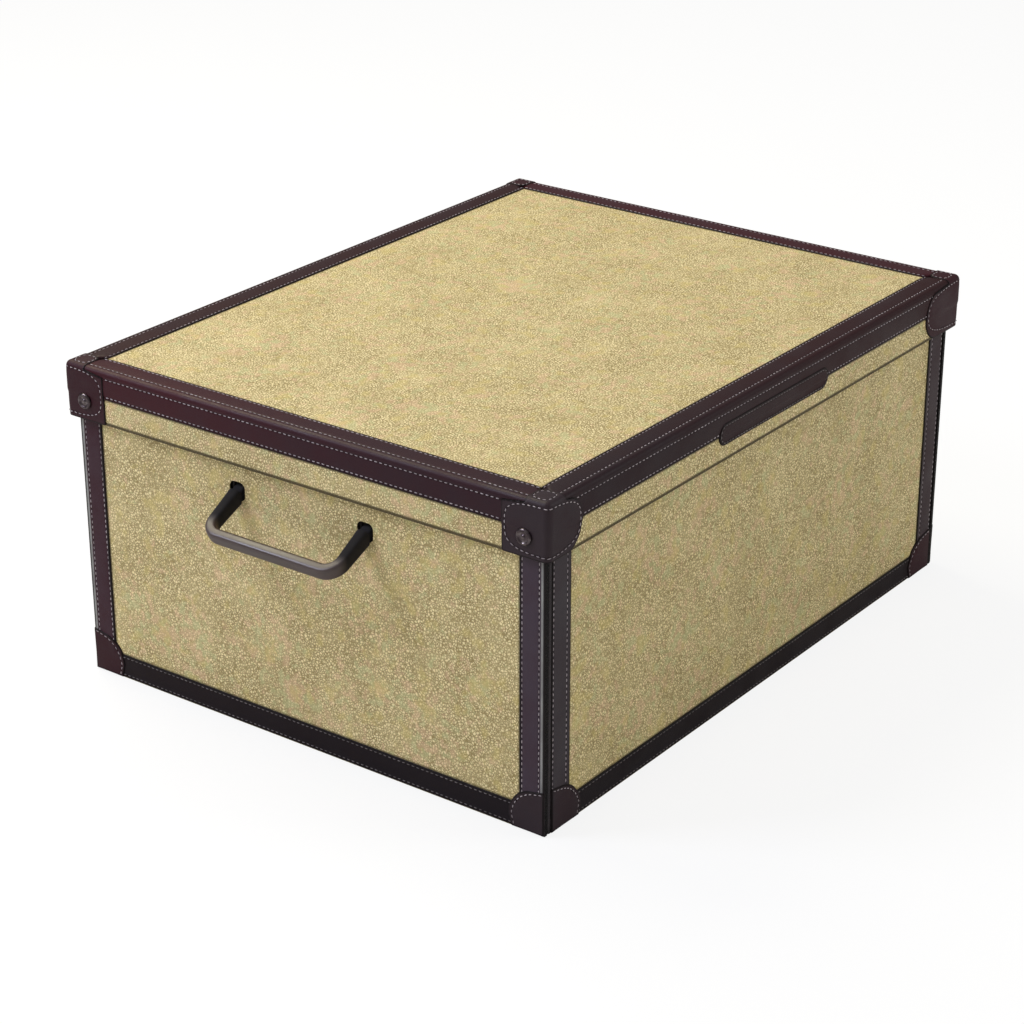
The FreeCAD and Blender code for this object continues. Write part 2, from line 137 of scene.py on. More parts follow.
class Finish:
    """A material: where its pattern is drawn, and what goes into its surface."""

    def __init__(self, name, **constants):
        self.material = bpy.data.materials.new(name)
        self.material.use_nodes = True
        tree = self.material.node_tree
        self.surface = tree.nodes["Principled BSDF"]
        for socket, value in constants.items():
            self.surface.inputs[socket.replace("_", " ")].default_value = value
        coordinates = tree.nodes.new("ShaderNodeTexCoord")
        self.place = Wire(coordinates.outputs["Object"])

    def attribute(self, name):
        return self.place.node("Attribute", {"attribute_name": name}, {}, 2)

    def surfaced(self, colour, roughness, height, depth, strength=1.0):
        """Fills the colour, the roughness and a bump of that depth in metres."""
        links = self.material.node_tree.links
        sockets = {"Height": height, "Distance": depth, "Strength": strength}
        bump = self.place.node("Bump", {}, sockets)
        for wire, socket in ((colour, "Base Color"), (roughness, "Roughness"), (bump, "Normal")):
            links.new(wire.socket, self.surface.inputs[socket])
        return self.material


def scaled(colour, share):
    return tuple(share * part for part in colour)


def pebbled(finish):
    """Colour, roughness and height of the cover: grains parted by fine creases, each of its own
    brightness, plainer in some places than in others, over a mottling of gold, olive and pink."""
    place = finish.place
    bent = place.shifted(0.0006, place.noise(520, 2, 1))
    grain = bent.cells(grain_scale).step(0.0, 0.30)
    each = bent.cells(grain_scale, "F1", 1)
    tone = each.node("SeparateColor", {}, {0: each})
    fine = place.noise(1150, 1)
    rich = place.noise(52, 2).step(0.34, 0.66, 0.72, 1.2)
    cloud = place.noise(26, 4)
    bright = (grain * 0.54 + tone * 0.17 + fine * 0.48 - 0.62) * rich + cloud * 0.34
    colour = bright.step(-0.22, 0.54).mix(cover_deep, cover_pale)
    tint = place.noise(150, 2)
    drift = place.noise(31, 2)
    colour = (tint + drift * 0.6).step(0.86, 1.04, 0, 0.5).mix(colour, olive)
    colour = (tint - drift * 0.6).step(0.16, -0.02, 0, 0.45).mix(colour, pink)
    colour = place.noise(88, 2).step(0.54, 0.70, 0, 0.4).mix(colour, ochre)
    roughness = grain.step(0, 1, 0.64, 0.46)
    height = (grain * 0.75 + fine * 0.36 + tone * 0.36) * rich
    return colour, roughness, height


def covered(name, half_x, half_y, low, high, margin_low, margin_high, ink_and_shade):
    """Cover outside and lining inside a tray whose inner faces are at the halves and between the
    heights, with the cover turned in between the margin's heights. The last argument turns the
    three coordinates, the first two without their signs, and 1 outside and 0 inside, into pairs of
    how much is darkened there, by painted shade and dark edges, and its colour."""
    finish = Finish(name, Specular_IOR_Level=0.25)
    x, y, z = finish.place.parts()
    x, y = x.math("ABSOLUTE"), y.math("ABSOLUTE")
    inside = (x < half_x * MM) * (y < half_y * MM) * z.between(low, high)
    lined = inside * (1 - z.between(margin_low, margin_high))
    colour, roughness, height = pebbled(finish)
    fibre = finish.place.noise(700, 4)
    paper = fibre.step(0.3, 0.75).mix(scaled(lining_cream, 0.86), lining_cream)
    colour = lined.mix(colour, paper)
    roughness = roughness * (1 - lined) + lined * 0.78
    height = height * (1 - lined) + lined * fibre * 0.25
    for amount, tone in ink_and_shade(x, y, z, 1 - inside):
        colour = amount.mix(colour, tone)
    return finish.surfaced(colour, roughness, height, 0.00042, 0.9)


def dressed(node, material):
    """A better material for a node that keeps its own mesh."""
    nodes[node].data.materials.clear()
    nodes[node].data.materials.append(material)


def trim_shade(off_trim):
    """How much painted shade darkens the cover at a distance beyond the trim's edge."""
    return off_trim.step(0.3 * MM, 1.7 * MM, 0.72, 0)


def corner_and_slot_shade(x, y, z, outside):
    """Painted shade: brown beside the trim, near black in the slit of each corner, dark grey
    towards the strip on the long side, and near black on the cut edges of the handles' slots."""
    off_end_strip = (side_face - strip_width) * MM - y
    off_side_strip = (-side_start - strip_width) * MM - x
    off_upright = off_end_strip.math("MAXIMUM", off_side_strip)
    off_trim = off_upright.math("MINIMUM", z - bottom_top * MM)
    beside = trim_shade(off_trim) * outside * (z > sole * MM)
    corner = (x > slit_x * MM) * (y > slit_y * MM)
    slit_greyer = corner * x.step(slit_grey_x[0] * MM, slit_grey_x[1] * MM, 0.9, 0)
    slot = x.between(end_face - board, end_face - slot_skin)
    slot = slot * y.between(*slot_across) * z.between(*slot_high)
    return (beside, trim_shade_brown), (corner.math("MAXIMUM", slot), recess_shade_black), (slit_greyer, slit_grey)


dressed(
    "body_tray",
    covered("body_cover", end_face - board + slack, side_face - board + slack, board - slack,
            no_limit, rim - turned_in, no_limit, corner_and_slot_shade),
)

# The upright edge strips: dark brown split leather, 19 mm wide, glued flat on the board beside each
# corner's slit and sewn with pale thread in two rows. Eight of them, with rounded long edges.
strip, floor_gap, rim_gap = 0.7, 0.5, 1.0
end_rows, side_rows, row_inset, row_end = (4.4, -2.0), (1.4, -3.8), 2.0, 1.2
stitch_pitch, stitch_length, stitch_width, stitch_height, stitch_sunk = 3.8, 2.5, 0.66, 0.52, 0.12
rng = np.random.default_rng(7248)
# A near black for the cut edges and painted shade, and the grey of a painted highlight.
edge_dark_and_shade, highlight_grey = (0.006, 0.003, 0.003), (0.25, 0.25, 0.24)


def leather(name, base, warm, rough=0.38, highlight_from=None):
    """Split leather: its base at the box's front left corner and a warmer tone away from it as a
    painted reflection, mottled, with a fine grain, near black along its cut edges, partly its own
    dark edge and partly painted shade, darker along its rows of stitches, and with a painted pale
    highlight beyond a distance from the box's middle if one is given."""
    finish = Finish(name, Specular_IOR_Level=0.17)
    place = finish.place
    edge = finish.attribute("edge")
    seam = finish.attribute("sewn")
    grain = place.cells(1150)
    fine = place.noise(2600, 3)
    cloud = place.noise(38, 3)
    x, y, _ = place.parts()
    # Painted reflection: the tone shifts from the base to the warm one away from the front left
    # corner.
    reflection_away = (x + y).step(-0.38, -0.10)
    colour = (reflection_away * 0.75 + cloud.step(0.36, 0.66, 0, 0.25)).mix(base, warm)
    colour = fine.step(0.35, 0.75, 0, 0.35).mix(colour, scaled(base, 1.6))
    # Darker along the rows of stitches, and near black at the cut edges: partly the leather's own
    # dark edge, partly painted shade.
    colour = seam.step(0.0, 1.1, 0.55, 0).mix(colour, edge_dark_and_shade)
    ink_and_shade = edge.step(0.55, 1.5, 0.92, 0)
    # Painted highlight: pale grey beyond the given distance, along the slit.
    if highlight_from:
        beyond = y.math("ABSOLUTE").step((highlight_from - 0.4) * MM, (highlight_from + 0.4) * MM)
        highlit = beyond * cloud.step(0.3, 0.6, 0.6, 1)
        colour = highlit.mix(colour, highlight_grey)
        ink_and_shade = edge.step(0.9, 1.9, 0.97, 0)
    colour = ink_and_shade.mix(colour, edge_dark_and_shade)
    roughness = cloud.step(0.3, 0.7, rough - 0.05, rough + 0.08) + fine * 0.06
    height = grain.step(0, 0.25) * 0.5 + fine * 0.5
    return finish.surfaced(colour, roughness, height, 0.00008, 0.7)


# Copies of one leather whose tones are painted light: one for the ends, one for the long sides, and
# a darker one painted in shade for the bottom strips.
end_lit_leather = leather(
    "end_lit_leather", (0.048, 0.033, 0.046), (0.036, 0.007, 0.012), highlight_from=186.0
)
side_lit_leather = leather("side_lit_leather", (0.042, 0.035, 0.040), (0.038, 0.020, 0.024), 0.40)
bottom_shaded_leather = leather("bottom_shaded_leather", (0.010, 0.006, 0.008), (0.011, 0.005, 0.006), 0.40)


def thread_finish(name, soiled, clean):
    """Waxed linen thread, twisted, so that fine slanting plies cross each stitch."""
    finish = Finish(name)
    place = finish.place
    ply = place.noise(3200, 1)
    age = place.noise(60, 2)
    colour = age.step(0.3, 0.7).mix(soiled, clean)
    return finish.surfaced(colour, ply.step(0, 1, 0.55, 0.75), ply, 0.00012, 0.8)


thread = thread_finish("thread", (0.24, 0.20, 0.215), (0.44, 0.38, 0.40))
soiled_thread = thread_finish("soiled_thread", (0.10, 0.085, 0.085), (0.19, 0.165, 0.165))


def smooth(x, low, high):
    """0 below low and 1 above high, with the cubic 3t^2 - 2t^3 between."""
    t = np.clip((x - low) / (high - low), 0, 1)
    return t * t * (3 - 2 * t)


def near(points, line):
    """Distance from every point of an array to the nearest of a line's points."""
    flat = points.reshape(-1, points.shape[-1])
    found = np.concatenate([
        np.linalg.norm(block[:, None] - line[None], axis=2).min(1)
        for block in np.array_split(flat, max(1, len(flat) * len(line) // 4_000_000))
    ])
    return found.reshape(points.shape[:-1])


def rolled(distance, thickness, edge=0.6):
    """A cut edge's roll: a quarter ellipse from 0 at the edge up to the thickness."""
    inward = 1 - np.clip(distance / edge, 0, 1)
    return thickness * np.sqrt(np.clip(1 - inward**2, 0, 1))


def spread(low, high, marks, coarse):
    """Places from low to high, close together at both ends and round the marks."""
    ends = np.array([0, 0.05, 0.14, 0.28, 0.45, 0.62, 0.9])
    hollow = np.array([-0.75, -0.45, -0.2, 0, 0.2, 0.45, 0.75])
    places = [low + ends, high - ends, np.linspace(low, high, max(2, round((high - low) / coarse)))]
    places += [mark + hollow for mark in marks]
    return np.unique(np.concatenate(places).round(3))


def flat_on(normal):
    """How a piece lies on a flat wall: straight out from it along the normal."""
    return lambda q, h: q + np.asarray(h)[..., None] * np.array(normal, float)


def quads(rows, columns, closed):
    """Quads between the neighbours of a grid of numbered points, joined round each row's ends if
    it is closed."""
    index = np.arange(rows * columns).reshape(rows, columns)
    if closed:
        index = np.concatenate([index, index[:, :1]], axis=1)
    corners = [index[:-1, :-1], index[1:, :-1], index[1:, 1:], index[:-1, 1:]]
    return np.stack(corners, -1).reshape(-1, 4)


class Sewn:
    """A piece being made: its grids of points joined into one mesh, of skin, kind 0, and thread,
    kind 1, with each point's distance from the skin's edge and from its nearest row of stitches."""

    def __init__(self):
        self.points, self.faces, self.kinds, self.edge, self.sewn = [], [], [], [], []
        self.count = 0

    def grid(self, grid, closed=False, edge=None, sewn=None):
        """Skin over a grid of points, closed if the ends of its rows meet."""
        faces = self.count + quads(*grid.shape[:2], closed)
        self.add(grid.reshape(-1, 3), faces, 0, edge, sewn)

    def add(self, points, faces, kind, edge=None, sewn=None):
        self.points.append(points)
        self.faces.append(faces)
        self.kinds.append(np.full(len(faces), kind))
        for store, values in ((self.edge, edge), (self.sewn, sewn)):
            store.append(np.full(len(points), 9.0) if values is None else np.ravel(values))
        self.count += len(points)

    def sheet(self, q, lay, height, border, seam, thick=np.inf, closed=False):
        """A sheet's two faces on one grid of places q: the upper at the height, and the lower as
        far beneath it as the leather is thick, but no lower than the board."""
        self.grid(lay(q, height), closed, border, seam)
        self.grid(lay(q, np.maximum(height - thick, 0))[:, ::-1], closed)

    def stitches(self, line, lay, height, pitch=stitch_pitch):
        """Stitches along a line of places: each is a bar whose width and height go as the root of
        1 - |s|^2.6, with s from -1 at one end to 1 at the other, and whose ends dip into the
        leather with the square of s."""
        on = lay(line, np.full(len(line), height))
        run = np.concatenate([[0], np.cumsum(np.linalg.norm(np.diff(on, axis=0), axis=1))])
        count = max(1, round(run[-1] / pitch))
        at = (np.arange(count) + 0.5) * run[-1] / count + rng.normal(0, 0.06, count)

        def along(s):
            return np.stack([np.interp(s, run, line[:, i]) for i in range(3)], -1)

        reach, rings, sides, level = stitch_length / 2, 7, 8, np.full(count, height)
        middle = lay(along(at), level)
        tangent = lay(along(at + reach), level) - lay(along(at - reach), level)
        tangent /= np.linalg.norm(tangent, axis=1)[:, None]
        normal = lay(along(at), level + 1.0) - middle
        normal /= np.linalg.norm(normal, axis=1)[:, None]
        across = np.cross(normal, tangent)
        tangent = tangent + across * rng.normal(0, 0.06, count)[:, None]
        turns = np.arange(sides) * 2 * pi / sides
        ring, turn = np.meshgrid(np.linspace(-1, 1, rings), turns, indexing="ij")
        body = (1 - np.abs(ring) ** 2.6) ** 0.5
        bar = np.stack([
            ring * reach,
            body * np.cos(turn) * stitch_width / 2,
            body * np.sin(turn) * stitch_height / 2 - 0.16 * ring**2,
        ], -1)
        bars = (
            middle[:, None, None]
            + bar[..., 0, None] * tangent[:, None, None]
            + bar[..., 1, None] * across[:, None, None]
            + bar[..., 2, None] * normal[:, None, None]
        )
        faces = quads(rings, sides, True)[:, [0, 3, 2, 1]]
        faces = faces + (np.arange(count) * rings * sides)[:, None, None] + self.count
        self.add(bars.reshape(-1, 3), faces.reshape(-1, 4), 1)

    def trimmed(self, node, body, skin, yarn, signs):
        """The piece as sewn edge trim, in the place of the node of that name."""
        self.finished(f"{node}_sewn", body, "edge_trim", [node], [skin, yarn], signs)

    def finished(self, name, body, slot, replaced, materials, signs=(1, 1)):
        """The piece as an object, mirrored to its corner by the signs, riding on its body."""
        points = np.concatenate(self.points) * (*signs, 1) * MM
        faces = np.concatenate(self.faces)
        if signs[0] * signs[1] < 0:
            faces = faces[:, ::-1]
        mesh = bpy.data.meshes.new(name)
        mesh.from_pydata(points, [], faces.tolist())
        mesh.polygons.foreach_set("material_index", np.concatenate(self.kinds))
        for label, values in (("edge", self.edge), ("sewn", self.sewn)):
            made = mesh.attributes.new(label, "FLOAT", "POINT")
            made.data.foreach_set("value", np.concatenate(values).astype(np.float32))
        for material in materials:
            mesh.materials.append(material)
        shape = bmesh.new()
        shape.from_mesh(mesh)
        bmesh.ops.remove_doubles(shape, verts=shape.verts, dist=1e-6)
        bmesh.ops.dissolve_degenerate(shape, edges=shape.edges, dist=1e-7)
        if shape.calc_volume(signed=True) < 0:
            bmesh.ops.reverse_faces(shape, faces=shape.faces)
        for face in shape.faces:
            face.smooth = True
        shape.to_mesh(mesh)
        shape.free()
        piece = bpy.data.objects.new(name, mesh)
        bpy.context.scene.collection.objects.link(piece)
        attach(piece, body)
        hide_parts(*replaced)


def groove(seam, border, depth=0.2, half=0.5, fade=(0.3, 1.2)):
    """How far a row of stitches draws the leather in: depth times exp(-(seam / half)^2), fading
    out towards the border."""
    return depth * np.exp(-((seam / half) ** 2)) * smooth(border, *fade)


def crowned(seam, border):
    """How a strip's face rises between its rows of stitches and is drawn in along them."""
    return 0.10 * smooth(seam, 0.6, 5) - groove(seam, border, 0.22, fade=(0.2, 1))


def flat_strip(start, along, across, length, width, normal, sewn_rows=(row_inset, -row_inset)):
    """A strip on a wall, its face at the leather's thickness and rolled down at its edges. Rows of
    stitches are measured in from one long edge, or as negative numbers from the other."""
    rows = [row if row > 0 else width + row for row in sewn_rows]
    s = spread(0, length, (), 12)
    w = spread(0, width, rows, 2.2)
    S, W = np.meshgrid(s, w, indexing="ij")
    border = np.minimum(np.minimum(W, width - W), np.minimum(S, length - S))
    seam = np.min([np.abs(W - row) for row in rows], axis=0)
    height = rolled(border, strip) + crowned(seam, border)
    q = np.array(start) + S[..., None] * np.array(along) + W[..., None] * np.array(across)
    lay = flat_on(normal)
    piece = Sewn()
    piece.sheet(q, lay, height, border, seam)
    t = np.linspace(row_end, length - row_end, 60)
    for row in rows:
        line = np.array(start) + t[:, None] * np.array(along) + row * np.array(across)
        piece.stitches(line, lay, strip - stitch_sunk)
    return piece


CORNERS = {
    "left_front": (-1, -1), "left_back": (-1, 1), "right_front": (1, -1), "right_back": (1, 1)
}
upright = rim - rim_gap - floor_gap
for corner, (x, y) in CORNERS.items():
    for wall, x_start, across, normal, rows, skin in (
        ("end", -end_face, (0, 1, 0), (-1, 0, 0), end_rows, end_lit_leather),
        ("side", side_start, (1, 0, 0), (0, -1, 0), side_rows, side_lit_leather),
    ):
        made = flat_strip(
            (x_start, -side_face, floor_gap), (0, 0, 1), across, upright, strip_width, normal, rows
        )
        made.trimmed(f"{wall}_strip_{corner}", "root", skin, thread, (-x, -y))

# The bottom edge strips: the same leather, one along the foot of each wall, butted between the
# upright strips, in a darker copy painted with shade.
butt_gap = 0.2
end_run = side_face - strip_width - butt_gap
side_run = -side_start - strip_width - butt_gap
end_foot, side_foot = (-end_face, -end_run, floor_gap), (-side_run, -side_face, floor_gap)
for name, foot_start, along, run, normal, signs in (
    ("left", end_foot, (0, 1, 0), end_run, (-1, 0, 0), (1, 1)),
    ("right", end_foot, (0, 1, 0), end_run, (-1, 0, 0), (-1, 1)),
    ("front", side_foot, (1, 0, 0), side_run, (0, -1, 0), (1, 1)),
    ("back", side_foot, (1, 0, 0), side_run, (0, -1, 0), (1, -1)),
):
    made = flat_strip(foot_start, along, (0, 0, 1), 2 * run, bottom_top - floor_gap, normal)
    made.trimmed(f"bottom_strip_{name}", "root", bottom_shaded_leather, soiled_thread, signs)

# The bottom corner patches: a trunk corner of thicker leather on each side of every slit, glued and
# sewn over the strips with one row of stitches that follows its round edge.
patch = 0.8
patch_top, crown, toe_top, toe_cut = 31.0, (12.0, 28.8), 9.5, 2.5
seam_start, seam_turn = (0.9, 29.2), (9.5, 27.2)
patch_leather = leather("patch_leather", (0.029, 0.019, 0.023), (0.034, 0.006, 0.010), 0.42)


def arc(start, end, rise, count=24):
    """Points of a parabola from start to end, whose middle stands off the chord to the left by
    the rise: at t along the chord it stands off by 4 t (1 - t) of it."""
    start, end = np.array(start, float), np.array(end, float)
    run = end - start
    left = np.array([-run[1], run[0]]) / np.linalg.norm(run)
    t = np.linspace(0, 1, count)[:, None]
    return start + t * run + 4 * rise * t * (1 - t) * left


def straight(start, end, step=1.0):
    """Points of a straight run from start to end."""
    start, end = np.array(start, float), np.array(end, float)
    count = max(2, int(np.linalg.norm(end - start) / step) + 1)
    return start + np.linspace(0, 1, count)[:, None] * (end - start)


def chained(*runs):
    """Runs one after the other, each without its last point."""
    return np.concatenate([run[:-1] for run in runs])


def fan(outline, centre, inner):
    """Rings of points from an outline in to a centre: the first few at set distances in from the
    outline along each ray, then even shares of what is left."""
    insets = np.array([0, 0.06, 0.16, 0.3, 0.5, 0.75, 1.1, 1.5, 1.8, 2.1, 2.4, 2.7, 3.1, 3.6])
    ray = outline - centre
    length = np.linalg.norm(ray, axis=1)
    outer = 1 - insets[:, None] / np.maximum(length, 4.5)[None]
    rest = outer[-1][None] * (1 - np.linspace(0, 1, inner + 1)[1:, None])
    return centre + np.concatenate([outer, rest])[..., None] * ray[None]


def foot_patch(width, place, normal):
    """A corner patch: fans in from its outline, as high as the leather beneath it plus its own
    thickness, and draped down beyond the strips."""
    outline = chained(
        straight((0, patch_top), (0, floor_gap)),
        straight((0, floor_gap), (width - toe_cut, floor_gap)),
        straight((width - toe_cut, floor_gap), (width, toe_top)),
        arc((width, toe_top), crown, -4.0),
        straight(crown, (0, patch_top)),
    )
    toe = (width - 2.6, 9.3)
    grid = fan(outline, np.array([10.0, 12.0]), 6)
    border = near(grid, outline)
    border[0] = 0
    sewn_line = np.concatenate([
        straight(seam_start, seam_turn, 0.3)[:-1],
        arc(seam_turn, toe, 3.7, 90),
        straight(toe, (width - 4.6, 1.4), 0.3)[1:],
    ])
    seam = near(grid, sewn_line)
    off_upright = smooth(grid[..., 0], strip_width - 0.2, strip_width + 1.6)
    off_bottom = smooth(grid[..., 1], bottom_top - 0.1, bottom_top + 1.5)
    full = patch + strip * (1 - np.minimum(off_upright, off_bottom))
    height = rolled(border, 1.0, 0.7) * full - groove(seam, border)
    q = place(grid[..., 0], grid[..., 1])
    lay = flat_on(normal)
    piece = Sewn()
    piece.sheet(q, lay, height, border, seam, patch, True)
    piece.stitches(place(sewn_line[:, 0], sewn_line[:, 1]), lay, patch + strip - 0.14)
    return piece


def on_end_wall(a, z):
    return np.stack([np.full_like(a, -end_face), -side_face + a, z], -1)


def on_side_wall(a, z):
    return np.stack([side_start + a, np.full_like(a, -side_face), z], -1)


for corner, (x, y) in CORNERS.items():
    for wall, width, place, normal in (
        ("end", 27.0, on_end_wall, (-1, 0, 0)),
        ("side", 31.0, on_side_wall, (0, -1, 0)),
    ):
        made = foot_patch(width, place, normal)
        made.trimmed(f"{wall}_patch_{corner}", "root", patch_leather, thread, (-x, -y))

# The handle anchors: a moulded plate with ears, bonded behind each end wall. Matt dark plastic with
# the fine spark-eroded texture of its mould.
def moulded(name, base, rough, depth, **constants):
    """Moulded plastic, as a finish and what its surface takes: an even colour with the mould's
    fine texture, slightly uneven in gloss."""
    finish = Finish(name, **constants)
    place = finish.place
    texture = place.noise(2400, 3)
    flow = place.noise(30, 2)
    colour = flow.step(0.3, 0.7).mix(base, scaled(base, 1.18))
    roughness = flow.step(0.3, 0.7, rough - 0.05, rough + 0.05) + texture * 0.05
    return finish, colour, roughness, texture, depth


anchor_finish, *surface = moulded("anchor_plastic", (0.030, 0.024, 0.023), 0.52, 0.00006)
anchor_plastic = anchor_finish.surfaced(*surface)
for end in ("left", "right"):
    dressed(f"handle_anchor_{end}", anchor_plastic)

# The handles: a bail moulded in one piece of dark satin plastic. Its legs thicken towards the wall,
# step down to necks that pass through it, and end in round cross bars in the anchor's ears.
leg_spacing, pivot_height, pivot_x = 104.5, 170.0, -235.5
reach, bend, droop = 44.0, 10.5, radians(27)
neck_width, neck_thickness, neck_length = 8.6, 7.0, 10.8
shoulder_length, shoulder_slant = 1.0, 0.25
leg_width, leg_thickness, grip_width, grip_thickness = 9.0, 11.4, 7.6, 9.8
ear, ear_gap, end_play = 2.4, 0.4, 0.2
shade_from, shade_to, bar_power = 0.265, 0.273, 3.6

handle_finish, colour, rough, *surface = moulded(
    "handle_plastic", (0.052, 0.033, 0.029), 0.36, 0.00003, Specular_IOR_Level=0.7
)
# Painted shade: the legs near the wall are near black and rougher, for the box's shadow on them.
out_of_shade = handle_finish.place.parts()[0].math("ABSOLUTE").step(shade_from, shade_to)
colour = out_of_shade.mix((0.003, 0.001, 0.002), colour)
handle_plastic = handle_finish.surfaced(colour, rough + 0.5 * (1 - out_of_shade), *surface, 0.6)


def superellipse(width, thickness, power, turns):
    """A rounded square: each coordinate is the cosine or sine to the power 2 / power, with its
    sign."""
    a = np.sign(np.cos(turns)) * np.abs(np.cos(turns)) ** (2 / power)
    b = np.sign(np.sin(turns)) * np.abs(np.sin(turns)) ** (2 / power)
    return a * width / 2, b * thickness / 2


def bail():
    """The bar's middle line runs out along a leg, a quarter circle round the bend and along the
    grip, and back in the same way. Its section is a superellipse: the neck's as far as the
    shoulder, the leg's just past it, and from there in a straight line to the grip's at the
    bend. A straight round bar ends each leg."""
    leg, quarter = reach - bend, bend * pi / 2
    middle = leg + quarter + leg_spacing / 2 - bend
    full_at = neck_length + shoulder_length
    half = np.concatenate([
        np.linspace(0, neck_length, 6)[:-1],
        np.linspace(neck_length, full_at, 8)[:-1],
        np.linspace(full_at, leg, 16)[:-1],
        np.linspace(leg, leg + quarter, 20)[:-1],
        np.linspace(leg + quarter, middle, 16),
    ])
    run = np.concatenate([half, half[-2::-1]])[:, None]
    side = np.sign(np.arange(len(run)) - len(half) + 0.5)[:, None]
    round_bend = np.clip((run - leg) / bend, 0, pi / 2)
    out = np.minimum(run, leg) + bend * np.sin(round_bend)
    inward = bend * (1 - np.cos(round_bend)) + np.clip(run - leg - quarter, 0, None)
    over = side * (leg_spacing / 2 - inward)
    grown = smooth(run, neck_length, full_at)
    width = np.interp(run, [full_at, leg], [leg_width, grip_width])
    thickness = np.interp(run, [full_at, leg], [leg_thickness, grip_thickness])
    turns = np.linspace(0, 2 * pi, 45)[:-1] + 0.02
    a, b = superellipse(
        neck_width + (width - neck_width) * grown,
        neck_thickness + (thickness - neck_thickness) * grown,
        bar_power,
        -turns[None],
    )
    lean = shoulder_slant * np.interp(run, [0, neck_length, full_at, leg], [0, 1, 1, 0])
    local_x = -(out + np.sin(round_bend) * a) + lean * b
    local_y = over + side * np.cos(round_bend) * a
    piece = Sewn()
    bar = np.stack([local_x, local_y, b], -1)
    first, last = (bar[end].mean(0) + 0 * bar[end] for end in (0, -1))
    piece.grid(np.concatenate([first[None], bar, last[None]]), True)
    half = neck_width / 2 + ear_gap + ear - end_play
    across = np.array([-1, -1, -0.985, -0.95, -0.88, 0.88, 0.95, 0.985, 1, 1]) * half
    radius = neck_thickness / 2 * np.array([0, 0.82, 0.93, 0.985, 1, 1, 0.985, 0.93, 0.82, 0])
    angle = np.linspace(0, 2 * pi, 33)[:-1]
    round_x, round_z = radius[:, None] * np.cos(angle), radius[:, None] * np.sin(angle)
    for y in (-leg_spacing / 2, leg_spacing / 2):
        piece.grid(np.stack([round_x, y + across[:, None] + 0 * angle, round_z], -1), True)
    return piece


def swung(points, angle):
    """Points of the handle turned about its pivot by the droop and set in the wall."""
    x, y, z = np.moveaxis(points, -1, 0)
    turned_x = pivot_x + x * cos(angle) - z * sin(angle)
    turned_z = pivot_height + x * sin(angle) + z * cos(angle)
    return np.stack([turned_x, y, turned_z], -1)


for end, x in (("left", 1), ("right", -1)):
    handle = bail()
    handle.points = [swung(points, droop) for points in handle.points]
    node = f"handle_{end}"
    handle.finished(f"{node}_bail", node, "handle_plastic", [node], [handle_plastic], (x, 1))

# The lid: a second folded blank, covered and lined in the same way, its cover turned in under the
# skirts' lower edges.
lid_x, lid_y, lid_top, lid_bottom, fold, lid_strip = 249.1, 194.1, 224.8, 187.8, 3.0, 19.0
lid_turned_in, edge_shade_brown = 12, (0.070, 0.052, 0.022)


def skirt_edge_shade(x, y, z, outside):
    """Painted shade beside the trim, and a dark brown on the skirts' lower edge and a little way up
    its
    face: partly the edge's own dark, partly painted shade of the gap to the body.
    """
    off_end, off_side = (lid_x - lid_strip) * MM - x, (lid_y - lid_strip) * MM - y
    off_skirt = (lid_top - lid_strip) * MM - z
    beside = trim_shade(off_end.math("MINIMUM", off_side).math("MAXIMUM", off_skirt)) * outside
    # Dark lower edge of the skirts, partly painted shade of the gap below the lid.
    edge = z.step((lid_bottom + 1.4) * MM, (lid_bottom + 2.9) * MM, 0.96, 0)
    return (beside, trim_shade_brown), (edge, edge_shade_brown)


dressed(
    "lid_tray",
    covered("lid_cover", lid_x - board + slack, lid_y - board + slack, 0, lid_top - board + slack,
            lid_bottom - 1, lid_bottom + lid_turned_in, skirt_edge_shade),
)

# The lid's edge strips: each is folded over one top edge of the lid, mitred on the top where two
# meet, and sewn in four rows, two on the top and two on the skirt.
top_rows, skirt_rows = (lid_strip - row_inset, 4.6), (4.6, lid_strip - row_inset)
# The lid's strips: copies of the same leather whose tones are painted light, for the ends and for
# the long sides.
lid_end_lit_leather = leather("lid_end_lit_leather", (0.025, 0.010, 0.015), (0.046, 0.006, 0.010))
lid_side_lit_leather = leather("lid_side_lit_leather", (0.020, 0.010, 0.013), (0.028, 0.007, 0.008))


def lay_on_lid(q, h):
    """How a piece lies on the lid: a place on its sharp box moves to the rounded one, whose
    surface is the fold radius plus the height away from the box inside the folds."""
    half = np.array([lid_x - fold, lid_y - fold, 1e9])
    inner = np.clip(q, -half, half)
    inner[..., 2] = np.minimum(q[..., 2], lid_top - fold)
    out = q - inner
    out /= np.linalg.norm(out, axis=-1)[..., None]
    return inner + (fold + np.asarray(h))[..., None] * out


def folded_strip(along, place):
    """A strip over an edge: w runs from the skirt's lower border, below 0, over the edge to the
    inner border on the top, and each row is as long as the mitre leaves it."""
    rows = [-skirt_rows[1], -skirt_rows[0], top_rows[1], top_rows[0]]
    w = np.concatenate([spread(-lid_strip, lid_strip, rows, 2.0), np.linspace(-fold, fold, 15)])
    T, W = np.meshgrid(np.linspace(-1, 1, 60), np.unique(w.round(3)), indexing="ij")
    reach = along - fold - np.clip(W - fold, 0, None)
    q = place(T * reach, W)
    border = np.minimum(W + lid_strip, lid_strip - W)
    seam = np.min([np.abs(W - row) for row in rows], axis=0)
    height = rolled(border, strip) + crowned(seam, border) * smooth(np.abs(W), 2.5, 4)
    height = height * np.where(np.abs(T) > 0.9999, 0, 1)
    piece = Sewn()
    piece.sheet(q, lay_on_lid, height, border, seam)
    for row in rows:
        run = np.linspace(-1, 1, 80) * (along - fold - max(row - fold, 0) - 1.0)
        piece.stitches(place(run, np.full(80, float(row))), lay_on_lid, strip - stitch_sunk)
    return piece


